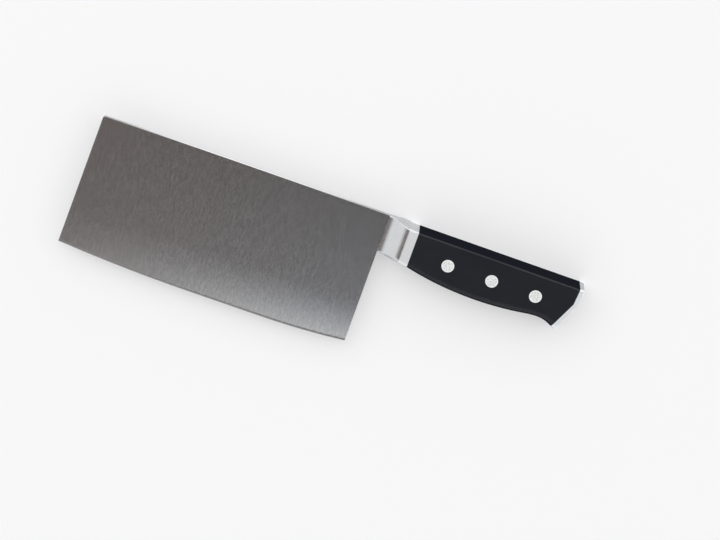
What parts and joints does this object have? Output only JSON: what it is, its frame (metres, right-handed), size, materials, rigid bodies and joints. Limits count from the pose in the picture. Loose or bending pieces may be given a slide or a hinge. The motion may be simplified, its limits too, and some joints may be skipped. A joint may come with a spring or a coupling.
{
  "type": "chinese cleaver",
  "caption": "Rectangular Chinese cleaver: tall satin steel blade, flared steel bolster, riveted black handle with a polished steel end cap.",
  "frame": {"origin": "middle of the footprint, on the surface that the right scale lies on", "axes": "+X along the knife from tip to butt, +Y towards the spine, +Z out of the left side of the blade"},
  "size_m": [0.3323, 0.094, 0.021],
  "materials": {
    "blade_steel": "satin, brushed from spine to edge",
    "polished_steel": "polished",
    "rivet_steel": "ground flush and buffed",
    "handle_plastic": "fine matt"
  },
  "bodies": {
    "root": {"blade": "blade_steel", "bolster": "polished_steel", "scale_left": "handle_plastic", "scale_right": "handle_plastic", "end_cap": "polished_steel", "rivet_front_sleeve": "rivet_steel", "rivet_front_post": "rivet_steel", "rivet_middle_sleeve": "rivet_steel", "rivet_middle_post": "rivet_steel", "rivet_rear_sleeve": "rivet_steel", "rivet_rear_post": "rivet_steel"}
  },
  "joints": []
}
